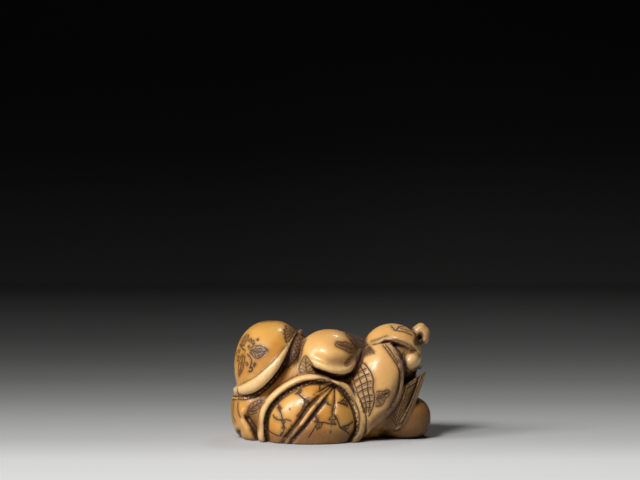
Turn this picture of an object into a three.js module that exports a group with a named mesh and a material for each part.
// A netsuke carved in the round from one block of ivory: a crouching figure wrapped in layered
// robes, bowed forward with the head at +X. The near side of the carving faces -Y.
//
// The carving is described as rounded masses (hip, shoulders, knees, torso, cap) whose hems,
// folds and lapels follow drawn lines. The masses are joined into one surface, the surface is
// covered with a mesh, and the mesh is thinned to large facets. Millimetres, +Z up.
import * as THREE from 'three';

// ---- driving dimensions
const LENGTH = 44.0;          // along X, rump to curl
const DEPTH = 30.2;           // along Y, near knee to far knee
const HEIGHT = 25.6;          // base to the top of the hip
const HEM_BAND = 0.85;        // how far the hip's hem band stands out
const SLEEVE_ROLL = 0.85;     // radius of the rolled sleeve edge
const KNEE_RIM = 1.55;        // width of the rim round the knee
const KNEE_RIM_RISE = 0.8;    // how far that rim stands out
const KNEE_GROOVE = 0.8;      // depth of the channel inside the rim
const KNEE_BULGE = 2.35;      // rise of the inner garment out of the channel
const FOLD_DEPTH = 0.8;       // depth of the folds that gather at the knee's top
const FOLD_WIDTH = 0.75;      // and their half width
const LAPEL_ROLL = 0.42;      // radius of the near lapel's edge
const BRIM_ROLL = 0.83;       // radius of the cap's edge at its thickest
const CURL_ROLL = 1.2;        // radius of the curl at the cap's end
const CORD_HOLE = 3.2;        // bore of the cord channel in the underside
const CORD_SPAN = 8.0;        // spread of the channel's two mouths
const VIEW_RISE = 0.0875;     // the drawn lines run back at this slope
const VIEW_REACH = 390;       // and spread with depth from this far in front
const VIEW_LEVEL = 12;        // height that the spread keeps level
const SOFTEST = 0.45;         // the least rounding where two masses meet
const CELL = 0.5;             // mesh cell before thinning
const FACES = 9200;           // facets after thinning

// ---- small functions
const clamp = (v, low, high) => Math.min(high, Math.max(low, v));
const ramp = (v, from, to) => THREE.MathUtils.smoothstep(from < to ? v : -v, Math.min(from, to), Math.max(from, to));
const hump = (v, width) => Math.exp(-((v / width) ** 2));

function joined(a, b, blend) {
  const soft = Math.max(blend, SOFTEST);
  const h = Math.max(soft - Math.abs(a - b), 0) / soft;
  return Math.min(a, b) - h * h * h * soft / 6;
}
const cutBy = (a, b, soft) => -joined(-a, -b, soft);

// An ellipsoid, leaning towards +X by lean degrees. A power above 2 makes it squarer.
function ellipsoid(at, radii, lean = 0, power = 2) {
  const turn = THREE.MathUtils.degToRad(lean);
  const c = Math.cos(turn);
  const s = Math.sin(turn);
  const [rx, ry, rz] = radii;
  return (x, y, z) => {
    const dx = x - at[0];
    const dy = y - at[1];
    const dz = z - at[2];
    const ux = Math.abs(c * dx - s * dz) / rx;
    const uy = Math.abs(dy) / ry;
    const uz = Math.abs(s * dx + c * dz) / rz;
    if (power === 2) {
      const k0 = Math.hypot(ux, uy, uz);
      return k0 * (k0 - 1) / Math.max(Math.hypot(ux / rx, uy / ry, uz / rz), 1e-6);
    }
    const k0 = (ux ** power + uy ** power + uz ** power) ** (1 / power);
    const k1 = Math.hypot(ux ** (power - 1) / rx, uy ** (power - 1) / ry, uz ** (power - 1) / rz)
      / Math.max(k0, 1e-6) ** (power - 1);
    return (k0 - 1) / Math.max(k1, 0.02);
  };
}

// A rod with round ends whose radius runs from ra to rb.
function rod(a, b, ra, rb) {
  const ab = [b[0] - a[0], b[1] - a[1], b[2] - a[2]];
  const length2 = ab[0] ** 2 + ab[1] ** 2 + ab[2] ** 2;
  return (x, y, z) => {
    const px = x - a[0];
    const py = y - a[1];
    const pz = z - a[2];
    const t = clamp((px * ab[0] + py * ab[1] + pz * ab[2]) / length2, 0, 1);
    return Math.hypot(px - t * ab[0], py - t * ab[1], pz - t * ab[2]) - (ra + (rb - ra) * t);
  };
}

// Distance to a straight stroke drawn on the side view.
function stroke(x, v, a, b) {
  const ux = b[0] - a[0];
  const uz = b[1] - a[1];
  const t = clamp(((x - a[0]) * ux + (v - a[1]) * uz) / (ux * ux + uz * uz), 0, 1);
  return Math.hypot(x - a[0] - t * ux, v - a[1] - t * uz);
}

// A smooth line drawn on the side view. side() is the signed distance to it,
// positive on the line's left as it is drawn.
const TABLE = { x: -27, z: -4, wide: 54, tall: 36, step: 0.15 };
class DrawnLine {
  constructor(points) {
    const curve = new THREE.CatmullRomCurve3(points.map(([x, z]) => new THREE.Vector3(x, 0, z)), false, 'catmullrom', 0.5);
    const path = curve.getPoints(points.length * 8);
    this.nx = Math.round(TABLE.wide / TABLE.step) + 1;
    this.nz = Math.round(TABLE.tall / TABLE.step) + 1;
    this.table = new Float32Array(this.nx * this.nz);
    for (let i = 0; i < this.nx; i++) {
      for (let k = 0; k < this.nz; k++) {
        const x = TABLE.x + i * TABLE.step;
        const z = TABLE.z + k * TABLE.step;
        let best = Infinity;
        let side = 1;
        for (let n = 0; n + 1 < path.length; n++) {
          const a = path[n];
          const b = path[n + 1];
          const ux = b.x - a.x;
          const uz = b.z - a.z;
          const t = clamp(((x - a.x) * ux + (z - a.z) * uz) / (ux * ux + uz * uz), 0, 1);
          const d = Math.hypot(x - a.x - t * ux, z - a.z - t * uz);
          if (d < best - 1e-9) {
            best = d;
            side = ux * (z - a.z) - uz * (x - a.x) >= 0 ? 1 : -1;
          }
        }
        this.table[i * this.nz + k] = best * side;
      }
    }
  }

  side(x, z) {
    const fx = clamp((x - TABLE.x) / TABLE.step, 0, this.nx - 1.001);
    const fz = clamp((z - TABLE.z) / TABLE.step, 0, this.nz - 1.001);
    const i = Math.floor(fx);
    const k = Math.floor(fz);
    const u = fx - i;
    const w = fz - k;
    const row = i * this.nz + k;
    const t = this.table;
    return (t[row] * (1 - u) + t[row + this.nz] * u) * (1 - w)
      + (t[row + 1] * (1 - u) + t[row + this.nz + 1] * u) * w;
  }
}

// ---- the lines of the robes on the side view, [x, z]
const hipHem = new DrawnLine([[-30, 8], [-24, 9.6], [-20.6, 10.1], [-19.3, 10.05], [-17.2, 10.7], [-15.3, 11.9],
  [-13.4, 13.7], [-11.5, 16.2], [-10.2, 18.6], [-8.9, 21.3], [-7.6, 24.2], [-6, 28.5]]);
const hipLine = new DrawnLine([[-30, 11], [-24, 11.7], [-20.4, 12.3], [-18.2, 13.4], [-16.3, 14.6], [-14.1, 16.5],
  [-11.8, 18.8], [-10.3, 20.6], [-9, 22.2], [-7.8, 24.2], [-6.1, 28.5]]);
const sleeveHem = new DrawnLine([[-12, 19], [-8, 18.6], [-4.6, 16.9], [-2.3, 15.9], [0.2, 15.1], [2.4, 14.9],
  [4.3, 15.4], [5.6, 16.7], [6.9, 18.6], [8, 21], [9, 26]]);
const kneeLine = new DrawnLine([[-15.3, -4], [-16.2, 1], [-16.2, 4.5], [-15.4, 7.7], [-13.5, 10.3], [-10.9, 12.5],
  [-7.4, 14.4], [-4.2, 15], [-1.5, 14.6], [0.7, 13.6], [2.5, 13.1], [4.1, 12.2], [5.9, 9.8], [7.1, 7.1],
  [7.6, 4.6], [7.3, 2], [6, -0.5], [4, -4]]);
const lapel = new DrawnLine([[11, 26], [12.2, 23.5], [13.2, 21.6], [14.5, 19.9], [15.5, 18], [15.95, 15.9],
  [15.9, 13.4], [15.4, 10.8], [14.4, 8.5], [13.1, 6.6], [11.5, 4.8], [9.5, 3], [7.5, 1.2], [5, -1]]);
const farLapel = new DrawnLine([[26, 27], [23.5, 21.5], [21.3, 15.6], [20, 11.8], [18.8, 8.6], [17.2, 5.4],
  [15.6, 2.8], [14.8, 1.4], [14, -3]]);
const farTop = new DrawnLine([[8, 6.5], [12, 9.7], [15.5, 12.1], [18, 13.6], [21.3, 15.9], [24, 17.6]]);
const folds = [
  new DrawnLine([[1.5, 14.5], [0.5, 12.6], [-2.3, 10.2], [-4.9, 7.7], [-7.4, 4.2], [-9.6, 1.3], [-11, -1]]),
  new DrawnLine([[1.2, 14.2], [0.5, 12], [-1.1, 9.6], [-3.6, 6.4], [-5.8, 3.5], [-8, 1], [-9.5, -1]]),
  new DrawnLine([[0.8, 13.2], [0.75, 8.9], [0.4, 6.3]]),
  new DrawnLine([[0.4, 12.9], [-1.4, 11.8], [-3.2, 10.7]]),
];
const GATHER = [0.7, 13.5];   // where the knee's folds meet

// ---- the masses: centre, radii, lean, squareness
const coreBack = ellipsoid([-2, 0.5, 9], [15, 9.6, 9.3]);
const coreFront = ellipsoid([8.5, 1.5, 10], [7.5, 8.6, 9]);
const coreBase = ellipsoid([-2.5, 0.3, 3.5], [16.5, 9.8, 6.5]);
const skirt = ellipsoid([-13.9, 0.2, 5.3], [7.85, 9.9, 8.2], 0, 2.4);
const sideNear = rod([-15, -2.5, 6.6], [-4, -4.4, 14.4], 6.8, 6);
const sideFar = rod([-15, 3, 6.6], [-4, 4.4, 13.2], 6.8, 6);
const hip = ellipsoid([-13.1, -0.2, 15.1], [8.25, 11.6, 10.5], 0, 2.25);
const shoulder = ellipsoid([-0.6, -4.4, 17.1], [7.15, 7.9, 6.85]);
const shoulderFar = ellipsoid([-0.2, 5.2, 16.3], [7.2, 7.4, 7.1]);
const sash = ellipsoid([-8.2, -0.2, 18.2], [3, 9.4, 4.8], 18);
const knob = ellipsoid([-6.75, -2.6, 23], [0.75, 0.9, 0.8]);
const hair = rod([2.6, -0.6, 19.4], [12, 0, 17.8], 3.9, 3.8);
const hairBack = ellipsoid([12, 0.8, 17.8], [4.6, 5.6, 4.4]);
const kneeNear = ellipsoid([-4.4, -2.9, 3.6], [14.6, 11, 16]);
const kneeFar = ellipsoid([-3.6, 2.4, 3.4], [13.8, 10.6, 15]);
const torso = ellipsoid([9.5, -3.7, 10.9], [6.45, 8.4, 11.4], 22, 2.35);
const torsoFar = ellipsoid([9.8, 4.2, 10.6], [6.2, 8.2, 10.8], 22, 2.3);
const chest = ellipsoid([13, -0.2, 8.6], [9.6, 9.2, 11.6], 28);
const sleeveEnd = ellipsoid([15.9, 0.2, 4.2], [5.95, 7.6, 4.85], 0, 2.4);
const sleeveArm = rod([13, 3.5, 7], [15.5, 5.2, 12.5], 4.6, 3.6);
const head = ellipsoid([16.3, 0, 17.1], [3.7, 4.6, 3.2], -35);
const nose = ellipsoid([19.3, -0.1, 15.7], [0.95, 0.62, 0.75], 40);
const throat = rod([14, 0, 11.5], [16.4, -0.4, 15.1], 3, 2.5);
const ear = ellipsoid([15.1, -4.4, 17.8], [0.75, 0.6, 1.1]);
const dome = ellipsoid([13.35, -0.5, 19.05], [6.4, 6.9, 5.95]);
const domeHollow = ellipsoid([14.2, -1.3, 17.6], [4.9, 5.6, 4.8]);
const curlPath = [[18, 21.3], [18.8, 23.2], [19.7, 23.9], [20.5, 23.1], [20.35, 21.6]];
const curlRods = curlPath.slice(1).map((end, i) => rod([curlPath[i][0], 0, curlPath[i][1]], [end[0], 0, end[1]],
  CURL_ROLL, CURL_ROLL));
const curlHollow = rod([19.3, -3, 21.7], [19.3, 3, 21.6], 0.55, 0.55);

// The knee: a rim round its outline, a channel, then the swollen inner garment.
function kneeRise(inside, width, groove, bulge, reach, creases) {
  if (inside <= width) {
    return KNEE_RIM_RISE * Math.sqrt(Math.max(0, 1 - ((inside - width / 2) / (width / 2)) ** 2));
  }
  const u = clamp((inside - width - 0.65) / reach, 0, 1);
  return -groove + bulge * (1 - (1 - u) ** 2.6) ** 0.62 - creases;
}

// ---- the whole figure, negative inside
function figure(x, y, z) {
  const spread = 1 - Math.min(y, 2) / VIEW_REACH;
  const h = x * spread;
  const v = VIEW_LEVEL + (z - VIEW_LEVEL) * spread + VIEW_RISE * (Math.min(y, 2) + 12);
  const near = ramp(-y, -1, 2);

  // the robe below the hip, with a fold running down to the hem
  let robe = joined(skirt(x, y, z), sideNear(x, y, z), 2);
  robe = joined(robe, sideFar(x, y, z), 2);
  robe += near * (1.5 * hump(stroke(h, v, [-18.4, 5.2], [-15.4, 1.2]), 0.85)
    - 0.55 * hump(stroke(h, v, [-20, 6.2], [-17.6, 0.2]), 1)
    + 0.8 * hump(stroke(h, v, [-20.2, 2.3], [-20.1, 0.8]), 0.5));
  let body = joined(coreBack(x, y, z), coreFront(x, y, z), 2);
  body = joined(joined(body, coreBase(x, y, z), 2), robe, 1.2);

  // far shoulder, then the near one with its rolled sleeve edge and the undercut below it
  const sleeve = sleeveHem.side(h, v);
  const upperFar = shoulderFar(x, y, z);
  body = joined(body, cutBy(upperFar, -(sleeve - 0.3), 0.8), 0.8);
  const rollFar = cutBy(Math.hypot(upperFar + 0.35, sleeve - 0.75) - 0.8 * SLEEVE_ROLL, 4.5 - y, 0.6);
  body = joined(body, cutBy(rollFar, -(x + 6), 1), 0.3);
  body += near * 1.1 * hump(sleeve + 0.55, 0.75) * ramp(x, -4.5, -2);
  const upper = shoulder(x, y, z);
  const upperCut = cutBy(upper + 0.35 * hump(sleeve - 2.2, 0.8) * ramp(x, -5, -2), -(sleeve - 0.35), 0.7);
  const merge = ramp(-x, 1.5, 5.5);
  body = joined(body, upperCut, 2.6) * merge + joined(body, upperCut, 0.3) * (1 - merge);
  let roll = Math.hypot(upper + 0.35, sleeve - 0.75) - SLEEVE_ROLL;
  roll = cutBy(cutBy(roll, y + 4.5, 0.6), -(x + 5.2), 1);
  body = joined(body, roll, 0.25);

  // sash, its knob, and the hair between shoulder and cap
  body = joined(body, sash(x, y, z), 0.5);
  body = joined(body, knob(x, y, z), 0.3);
  body = joined(body, hair(x, y, z), 0.7);

  // near knee with the folds that gather at its top
  const inside = -kneeLine.side(h, v);
  const toGather = Math.hypot(h - GATHER[0], v - GATHER[1]);
  const width = KNEE_RIM - 0.85 * hump(toGather, 2.2);
  const [fa, fb, fc, fd] = folds.map((line) => line.side(h, v));
  const deep = ramp(13.8 - v, 0, 3.5);
  const between = fa * fb < 0 ? Math.min(Math.abs(fa), Math.abs(fb), 0.7) : 0;
  const creases = FOLD_DEPTH * (hump(fa, FOLD_WIDTH) + hump(fb, FOLD_WIDTH)) * deep
    + 0.6 * hump(fc, FOLD_WIDTH) * ramp(13.5 - v, 0.2, 2) + 0.45 * hump(fd, FOLD_WIDTH) - 0.7 * between;
  let knee = kneeNear(x, y, z) - kneeRise(inside, width, KNEE_GROOVE, KNEE_BULGE, 6.5, creases);
  knee = cutBy(cutBy(knee, -inside, 0.15), y + 1.5, 1);
  body = joined(body, knee, 0.2);

  // far knee, the same with no folds
  const insideFar = -kneeLine.side(x * 0.98 - 0.6, z + 0.9);
  knee = kneeFar(x, y, z) - kneeRise(insideFar, 1.5, 0.5, 1.9, 7, 0);
  knee = cutBy(cutBy(knee, -insideFar, 0.15), -y + 1, 1);
  body = joined(body, knee, 0.2);

  // chest panel between the lapels, the sleeve end on the ground, the torso
  const front = lapel.side(h, v);
  const edge = farLapel.side(h, v);
  const aside = y + 0.6 + 0.62 * (15.5 - z);
  const keel = cutBy(0.9 * edge - 0.42 * aside, 0.9 * edge + 0.42 * aside, 1.2);
  const panel = cutBy(chest(x, y, z), keel, 0.6) + 0.4 * near - 0.45 * ramp(edge, -1.4, -1.15);
  body = joined(body, cutBy(cutBy(panel, farTop.side(h, v), 0.4), 2.5 - v, 0.9), 0.3);
  body = joined(body, joined(sleeveEnd(x, y, z), sleeveArm(x, y, z), 1.5), 0.4);
  body = joined(body, cutBy(torsoFar(x, y, z), front - 0.4, 0.4), 0.4);
  const trunk = torso(x, y, z);
  body = joined(body, cutBy(trunk + near * 0.22 * hump(front + 0.85, 0.22), front + 0.05, 0.2), 0.2);
  const piping = Math.hypot(trunk + 0.1, front + 0.32) - LAPEL_ROLL;
  body = joined(body, cutBy(piping, y + 1, 0.5), 0.1);

  // head under the cap
  let face = joined(head(x, y, z), nose(x, y, z), 0.5);
  face = joined(joined(face, throat(x, y, z), 0.3), ear(x, y, z), 0.2);
  body = joined(body, face, 0.25);
  const crown = dome(x, y, z);
  const mouth = 17.15 - 0.25 * (x - 13.8) - 0.7 * y - 0.75 * Math.max(11.8 - x, 0) ** 1.2;
  const opening = (z - mouth) / 1.25;
  let cap = cutBy(cutBy(crown, -opening, 0.3), -domeHollow(x, y, z), 0.4);
  const thick = ramp(x, 9, 11.5);
  const brim = Math.hypot(crown + 0.5 - 0.5 * thick, opening - 0.15) - (0.4 + (BRIM_ROLL - 0.4) * thick);
  cap = joined(cap, brim, 0.35);
  body = joined(body, cutBy(hairBack(x, y, z), opening - 1.2, 0.5), 0.5);
  const curl = curlRods.reduce((sum, piece) => joined(sum, piece(x, y * 0.7, z), 0.3), 99);
  cap = joined(cap, cutBy(curl, -curlHollow(x, y, z), 0.3), 0.25);

  // hip with its hem band over everything behind
  const hem = hipHem.side(h, v);
  const line = hipLine.side(h, v);
  const band = Math.max(hem - line, 0.05);
  let swell = 0.25 * ramp(line, -0.1, 0.1) * (1 - ramp(line, 0.5, 3.5));
  if (hem > 0 && line < 0) {
    swell -= HEM_BAND * Math.sqrt(Math.max(0, 1 - (2 * hem / band - 1) ** 2)) * ramp(band, 0.3, 1.8);
  }
  body = joined(body, cutBy(hip(x, y, z) + swell, -hem, 0.6), 0.25);
  body = joined(body, cap, 0.15);

  // flat underside and the cord channel, a half ring with two mouths
  body = cutBy(body, -z, 1);
  const ring = Math.hypot(Math.hypot(x - 0.5, z + 1.4) - CORD_SPAN / 2, y - 4.5) - CORD_HOLE / 2;
  return cutBy(body, -ring, 0.4);
}

// ---- cover the surface with a closed mesh of cells
const CORNERS = [0, 1, 2, 3, 4, 5, 6, 7].map((c) => [c & 1, (c >> 1) & 1, (c >> 2) & 1]);

// A cell is simple when its inner corners hang together and its outer corners do too.
const simpleCell = Array.from({ length: 256 }, (_, mask) => [0, 1].every((value) => {
  const group = CORNERS.map((_c, c) => c).filter((c) => ((mask >> c) & 1) === value);
  if (!group.length) return true;
  const seen = new Set([group[0]]);
  const open = [group[0]];
  while (open.length) {
    const c = open.pop();
    for (const next of [c ^ 1, c ^ 2, c ^ 4]) {
      if (group.includes(next) && !seen.has(next)) {
        seen.add(next);
        open.push(next);
      }
    }
  }
  return seen.size === group.length;
}));

function coverSurface(field, low, high, cell) {
  const n = low.map((v, i) => Math.ceil((high[i] - v) / cell) + 1);
  const at = (i, j, k) => (i * n[1] + j) * n[2] + k;
  const value = new Float64Array(n[0] * n[1] * n[2]);
  for (let i = 0; i < n[0]; i++) {
    for (let j = 0; j < n[1]; j++) {
      for (let k = 0; k < n[2]; k++) {
        const d = field(low[0] + i * cell, low[1] + j * cell, low[2] + k * cell);
        value[at(i, j, k)] = Math.abs(d) < 1e-4 ? 1e-4 : d;
      }
    }
  }
  const maskOf = (i, j, k) => CORNERS.reduce((mask, [a, b, c], bit) => (
    mask | ((value[at(i + a, j + b, k + c)] < 0 ? 1 : 0) << bit)), 0);

  // fill the few cells where two sheets would touch
  for (let round = 0, mended = 1; mended && round < 40; round++) {
    mended = 0;
    for (let i = 0; i + 1 < n[0]; i++) {
      for (let j = 0; j + 1 < n[1]; j++) {
        for (let k = 0; k + 1 < n[2]; k++) {
          if (simpleCell[maskOf(i, j, k)]) continue;
          let best = -1;
          for (const [a, b, c] of CORNERS) {
            const spot = at(i + a, j + b, k + c);
            if (value[spot] > 0 && (best < 0 || value[spot] < value[best])) best = spot;
          }
          value[best] = -0.02 * cell;
          mended++;
        }
      }
    }
  }

  const points = [];
  const pointAt = new Int32Array(value.length).fill(-1);
  for (let i = 0; i + 1 < n[0]; i++) {
    for (let j = 0; j + 1 < n[1]; j++) {
      for (let k = 0; k + 1 < n[2]; k++) {
        const mask = maskOf(i, j, k);
        if (mask === 0 || mask === 255) continue;
        const sum = [0, 0, 0];
        let count = 0;
        for (let a = 0; a < 8; a++) {
          for (let axis = 0; axis < 3; axis++) {
            const b = a | (1 << axis);
            if (b === a || ((mask >> a) & 1) === ((mask >> b) & 1)) continue;
            const va = value[at(i + CORNERS[a][0], j + CORNERS[a][1], k + CORNERS[a][2])];
            const vb = value[at(i + CORNERS[b][0], j + CORNERS[b][1], k + CORNERS[b][2])];
            CORNERS[a].forEach((c, w) => { sum[w] += c; });
            sum[axis] += va / (va - vb);
            count++;
          }
        }
        pointAt[at(i, j, k)] = points.length / 3;
        points.push(low[0] + (i + sum[0] / count) * cell, low[1] + (j + sum[1] / count) * cell,
          low[2] + (k + sum[2] / count) * cell);
      }
    }
  }

  const faces = [];
  const step = [[1, 0, 0], [0, 1, 0], [0, 0, 1]];
  for (let i = 1; i + 1 < n[0]; i++) {
    for (let j = 1; j + 1 < n[1]; j++) {
      for (let k = 1; k + 1 < n[2]; k++) {
        const here = value[at(i, j, k)] < 0;
        for (let axis = 0; axis < 3; axis++) {
          const [a, b, c] = step[axis];
          if (here === value[at(i + a, j + b, k + c)] < 0) continue;
          const u = step[(axis + 1) % 3];
          const w = step[(axis + 2) % 3];
          const corner = (du, dw) => pointAt[at(i - du * u[0] - dw * w[0], j - du * u[1] - dw * w[1],
            k - du * u[2] - dw * w[2])];
          const quad = [corner(1, 1), corner(0, 1), corner(0, 0), corner(1, 0)];
          if (!here) quad.reverse();
          faces.push(quad[0], quad[1], quad[2], quad[0], quad[2], quad[3]);
        }
      }
    }
  }
  return { points: Float64Array.from(points), faces: Int32Array.from(faces) };
}

// Slide each point along the field's slope until it lies on the surface.
function settle(field, points, reach, rounds) {
  const e = 0.02;
  for (let p = 0; p < points.length; p += 3) {
    const start = [points[p], points[p + 1], points[p + 2]];
    const q = [...start];
    for (let round = 0; round < rounds; round++) {
      const d = field(...q);
      const slope = [
        (field(q[0] + e, q[1], q[2]) - field(q[0] - e, q[1], q[2])) / (2 * e),
        (field(q[0], q[1] + e, q[2]) - field(q[0], q[1] - e, q[2])) / (2 * e),
        (field(q[0], q[1], q[2] + e) - field(q[0], q[1], q[2] - e)) / (2 * e),
      ];
      const steep = Math.max(slope[0] ** 2 + slope[1] ** 2 + slope[2] ** 2, 0.15);
      const move = clamp(d / steep, -0.4, 0.4) * 0.9;
      slope.forEach((s, i) => { q[i] -= s * move; });
      const away = Math.hypot(q[0] - start[0], q[1] - start[1], q[2] - start[2]);
      if (away > reach) q.forEach((v, i) => { q[i] = start[i] + (v - start[i]) * reach / away; });
    }
    points[p] = q[0];
    points[p + 1] = q[1];
    points[p + 2] = Math.max(q[2], 0);
  }
}

// Even the points out between their neighbours.
function even(points, faces, share) {
  const sum = new Float64Array(points.length);
  const count = new Int32Array(points.length / 3);
  for (let f = 0; f < faces.length; f++) {
    const from = faces[f];
    const to = faces[f % 3 === 2 ? f - 2 : f + 1];
    count[from]++;
    for (let i = 0; i < 3; i++) sum[3 * from + i] += points[3 * to + i];
  }
  for (let p = 0; p < points.length; p++) {
    points[p] += share * (sum[p] / count[Math.floor(p / 3)] - points[p]);
  }
}

// ---- thin the mesh: fold up the edge that changes the shape least, until few facets are left
function thin(points, faces, target) {
  const count = points.length / 3;
  const quadric = new Float64Array(count * 10);
  const around = Array.from({ length: count }, () => []);
  const alive = new Uint8Array(faces.length / 3).fill(1);
  const version = new Int32Array(count);
  const a = new THREE.Vector3();
  const b = new THREE.Vector3();
  const c = new THREE.Vector3();
  const load = (to, id) => to.set(points[3 * id], points[3 * id + 1], points[3 * id + 2]);
  const normalOf = (p, q, r) => {
    const ab = new THREE.Vector3().subVectors(q, p);
    return ab.cross(new THREE.Vector3().subVectors(r, p));
  };
  for (let f = 0; f < alive.length; f++) {
    const ids = [faces[3 * f], faces[3 * f + 1], faces[3 * f + 2]];
    load(a, ids[0]);
    load(b, ids[1]);
    load(c, ids[2]);
    const normal = normalOf(a, b, c);
    const area = normal.length() / 2;
    normal.normalize();
    const plane = [normal.x, normal.y, normal.z, -normal.dot(a)];
    for (const id of ids) {
      around[id].push(f);
      let slot = id * 10;
      for (let i = 0; i < 4; i++) {
        for (let j = i; j < 4; j++) quadric[slot++] += plane[i] * plane[j] * area;
      }
    }
  }
  const cost = (q, x, y, z) => q[0] * x * x + 2 * q[1] * x * y + 2 * q[2] * x * z + 2 * q[3] * x
    + q[4] * y * y + 2 * q[5] * y * z + 2 * q[6] * y + q[7] * z * z + 2 * q[8] * z + q[9];

  // where the folded edge's single point goes, and what that costs
  function plan(u, v) {
    const q = new Float64Array(10);
    for (let i = 0; i < 10; i++) q[i] = quadric[u * 10 + i] + quadric[v * 10 + i];
    load(a, u);
    load(b, v);
    const middle = a.clone().add(b).multiplyScalar(0.5);
    const span = a.distanceTo(b);
    const spots = [middle, a.clone(), b.clone()];
    const keep = 1e-3;
    const m = new THREE.Matrix3().set(q[0] + keep, q[1], q[2], q[1], q[4] + keep, q[5], q[2], q[5], q[7] + keep);
    if (Math.abs(m.determinant()) > 1e-12) {
      const best = new THREE.Vector3(-q[3] + keep * middle.x, -q[6] + keep * middle.y, -q[8] + keep * middle.z);
      best.applyMatrix3(m.invert());
      if (best.distanceTo(middle) < span) spots.unshift(best);
    }
    let chosen = null;
    for (const spot of spots) {
      const price = Math.max(0, cost(q, spot.x, spot.y, spot.z)) + 1e-4 * span * span;
      if (!chosen || price < chosen.price) chosen = { price, spot };
    }
    return chosen;
  }

  const heap = [];
  const push = (item) => {
    let i = heap.push(item) - 1;
    while (i > 0) {
      const up = (i - 1) >> 1;
      if (heap[up].price <= heap[i].price) break;
      [heap[up], heap[i]] = [heap[i], heap[up]];
      i = up;
    }
  };
  const pop = () => {
    const top = heap[0];
    const last = heap.pop();
    if (heap.length) {
      heap[0] = last;
      let i = 0;
      for (;;) {
        let small = i;
        for (const kid of [2 * i + 1, 2 * i + 2]) {
          if (kid < heap.length && heap[kid].price < heap[small].price) small = kid;
        }
        if (small === i) break;
        [heap[small], heap[i]] = [heap[i], heap[small]];
        i = small;
      }
    }
    return top;
  };
  const neighbours = (id) => {
    const set = new Set();
    for (const f of around[id]) {
      for (let i = 0; i < 3; i++) set.add(faces[3 * f + i]);
    }
    set.delete(id);
    return set;
  };
  const offer = (u, v) => {
    const { price, spot } = plan(u, v);
    push({ price, spot, u, v, ages: version[u] + version[v] });
  };
  for (let id = 0; id < count; id++) {
    for (const other of neighbours(id)) {
      if (other > id) offer(id, other);
    }
  }

  // moving a corner to the spot must not turn a facet over or make it a sliver
  const turnsOver = (id, other, spot) => around[id].some((f) => {
    const ids = [faces[3 * f], faces[3 * f + 1], faces[3 * f + 2]];
    if (ids.includes(other)) return false;
    const corners = ids.map((corner) => load(new THREE.Vector3(), corner));
    const before = normalOf(...corners).normalize();
    corners[ids.indexOf(id)] = spot;
    const after = normalOf(...corners);
    const longest = Math.max(corners[0].distanceTo(corners[1]), corners[1].distanceTo(corners[2]),
      corners[2].distanceTo(corners[0]));
    if (after.length() < 0.06 * longest * longest) return true;
    return after.normalize().dot(before) < 0.35;
  });

  let left = alive.length;
  while (left > target && heap.length) {
    const { u, v, spot, ages } = pop();
    if (!around[u].length || !around[v].length || ages !== version[u] + version[v]) continue;
    const ring = neighbours(u);
    if (!ring.has(v)) continue;
    const shared = [...neighbours(v)].filter((id) => ring.has(id));
    if (shared.length !== 2 || turnsOver(u, v, spot) || turnsOver(v, u, spot)) continue;
    points[3 * u] = spot.x;
    points[3 * u + 1] = spot.y;
    points[3 * u + 2] = Math.max(spot.z, 0);
    for (let i = 0; i < 10; i++) quadric[u * 10 + i] += quadric[v * 10 + i];
    for (const f of around[v]) {
      const slot = [0, 1, 2].find((i) => faces[3 * f + i] === v);
      if ([0, 1, 2].some((i) => faces[3 * f + i] === u)) {
        alive[f] = 0;
        left--;
        for (let i = 0; i < 3; i++) {
          const id = faces[3 * f + i];
          if (id !== v) around[id] = around[id].filter((g) => g !== f);
        }
      } else {
        faces[3 * f + slot] = u;
        around[u].push(f);
      }
    }
    around[v] = [];
    version[u] += 1;
    version[v] += 1;
    for (const id of neighbours(u)) offer(u, id);
  }
  const kept = [];
  for (let f = 0; f < alive.length; f++) {
    if (alive[f]) kept.push(faces[3 * f], faces[3 * f + 1], faces[3 * f + 2]);
  }
  return kept;
}

// ---- the solid
const surface = coverSurface(figure, [-23.5, -17.5, -1.2], [23.5, 17.5, 28], CELL);
settle(figure, surface.points, 0.8 * CELL, 2);
even(surface.points, surface.faces, 0.5);
even(surface.points, surface.faces, 0.5);
settle(figure, surface.points, 0.35 * CELL, 2);
even(surface.points, surface.faces, 0.3);
const facets = thin(surface.points, surface.faces, FACES);
const order = [...new Set(facets)].sort((p, q) => p - q);
const place = new Map(order.map((id, i) => [id, i]));
const corners = order.flatMap((id) => [...surface.points.slice(3 * id, 3 * id + 3)]);

const carving = new THREE.BufferGeometry();
carving.setAttribute('position', new THREE.Float32BufferAttribute(corners, 3));
carving.setIndex(facets.map((id) => place.get(id)));
carving.computeBoundingBox();
const box = carving.boundingBox;
const size = box.getSize(new THREE.Vector3());
const middle = box.getCenter(new THREE.Vector3());
carving.translate(-middle.x, -middle.y, -box.min.z);
carving.scale(LENGTH / size.x, DEPTH / size.y, HEIGHT / size.z);
carving.computeVertexNormals();

const ivory = new THREE.MeshStandardMaterial({ color: 0xc8944f, roughness: 0.32, metalness: 0 });
const figureMesh = new THREE.Mesh(carving, ivory);
figureMesh.name = 'carved_figure';

const netsuke = new THREE.Group();
netsuke.add(figureMesh);
export default netsuke;
